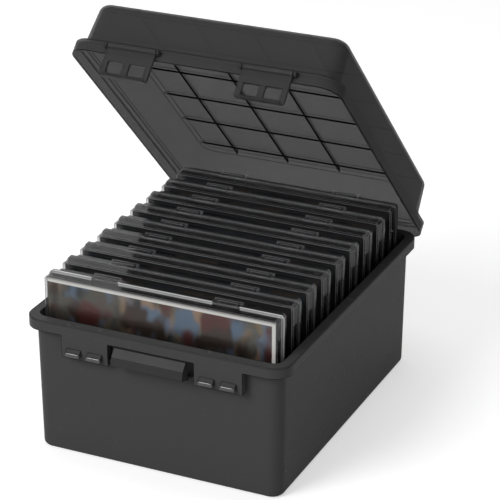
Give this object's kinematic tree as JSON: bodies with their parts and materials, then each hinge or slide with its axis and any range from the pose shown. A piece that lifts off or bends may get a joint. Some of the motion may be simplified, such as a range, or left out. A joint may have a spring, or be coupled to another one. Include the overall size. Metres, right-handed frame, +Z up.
{
  "type": "photo keeper case",
  "caption": "Lidded smoke plastic storage box on a carry handle and two clasps, holding a row of slim clear clamshell photo cases.",
  "frame": {"origin": "middle of the flat underside of the box", "axes": "+Z up, the front with the handle and clasps faces -Y, +X to the right seen from the front"},
  "size_m": [0.216, 0.3043, 0.3167],
  "materials": {
    "tub_smoke": "dark smoke translucent polypropylene, moulded, glossy",
    "lid_smoke": "dark smoke translucent polypropylene, moulded, glossy",
    "clasp_smoke": "dark smoke translucent polypropylene, moulded, glossy",
    "handle_smoke": "dark smoke plastic, moulded, satin gloss",
    "case_clear_smoke": "smoke-tinted clear polystyrene, moulded, glossy",
    "photo_paper": "glossy photo paper with a white border"
  },
  "bodies": {
    "box": {"base_tub": "tub_smoke"},
    "lid": {"lid_shell": "lid_smoke"},
    "clasp_l": {"clasp_left": "clasp_smoke"},
    "clasp_r": {"clasp_right": "clasp_smoke"},
    "handle": {"carry_handle": "handle_smoke"},
    "photo_case_1": {"case_cover_1": "case_clear_smoke", "case_tray_1": "case_clear_smoke", "photo_print_1": "photo_paper"},
    "photo_case_2": {"case_cover_2": "case_clear_smoke", "case_tray_2": "case_clear_smoke", "photo_print_2": "photo_paper"},
    "photo_case_3": {"case_cover_3": "case_clear_smoke", "case_tray_3": "case_clear_smoke", "photo_print_3": "photo_paper"},
    "photo_case_4": {"case_cover_4": "case_clear_smoke", "case_tray_4": "case_clear_smoke", "photo_print_4": "photo_paper"},
    "photo_case_5": {"case_cover_5": "case_clear_smoke", "case_tray_5": "case_clear_smoke", "photo_print_5": "photo_paper"},
    "photo_case_6": {"case_cover_6": "case_clear_smoke", "case_tray_6": "case_clear_smoke", "photo_print_6": "photo_paper"},
    "photo_case_7": {"case_cover_7": "case_clear_smoke", "case_tray_7": "case_clear_smoke", "photo_print_7": "photo_paper"},
    "photo_case_8": {"case_cover_8": "case_clear_smoke", "case_tray_8": "case_clear_smoke", "photo_print_8": "photo_paper"},
    "photo_case_9": {"case_cover_9": "case_clear_smoke", "case_tray_9": "case_clear_smoke", "photo_print_9": "photo_paper"}
  },
  "joints": [
    {"name": "lid_hinge", "type": "hinge", "parent": "box", "child": "lid", "pos_m": [0, 0.1366, 0.0962], "axis": [-1, 0, 0], "range_deg": [-45.1, 60]},
    {"name": "clasp_left_hinge", "type": "hinge", "parent": "lid", "child": "clasp_l", "pos_m": [-0.054, -0.04852, 0.29868], "axis": [-1, 0, 0], "range_deg": [0, 110]},
    {"name": "clasp_right_hinge", "type": "hinge", "parent": "lid", "child": "clasp_r", "pos_m": [0.054, -0.04852, 0.29868], "axis": [-1, 0, 0], "range_deg": [0, 110]},
    {"name": "handle_hinge", "type": "hinge", "parent": "box", "child": "handle", "pos_m": [0, -0.13, 0.0876], "axis": [1, 0, 0], "range_deg": [0, 85]},
    {"name": "case_lift_1", "type": "slide", "parent": "box", "child": "photo_case_1", "axis": [0, 0, 1], "range_m": [0, 0.118]},
    {"name": "case_lift_2", "type": "slide", "parent": "box", "child": "photo_case_2", "axis": [0, 0, 1], "range_m": [0, 0.118]},
    {"name": "case_lift_3", "type": "slide", "parent": "box", "child": "photo_case_3", "axis": [0, 0, 1], "range_m": [0, 0.118]},
    {"name": "case_lift_4", "type": "slide", "parent": "box", "child": "photo_case_4", "axis": [0, 0, 1], "range_m": [0, 0.118]},
    {"name": "case_lift_5", "type": "slide", "parent": "box", "child": "photo_case_5", "axis": [0, 0, 1], "range_m": [0, 0.118]},
    {"name": "case_lift_6", "type": "slide", "parent": "box", "child": "photo_case_6", "axis": [0, 0, 1], "range_m": [0, 0.118]},
    {"name": "case_lift_7", "type": "slide", "parent": "box", "child": "photo_case_7", "axis": [0, 0, 1], "range_m": [0, 0.094]},
    {"name": "case_lift_8", "type": "slide", "parent": "box", "child": "photo_case_8", "axis": [0, 0, 1], "range_m": [0, 0.068]},
    {"name": "case_lift_9", "type": "slide", "parent": "box", "child": "photo_case_9", "axis": [0, 0, 1], "range_m": [0, 0.04]}
  ]
}
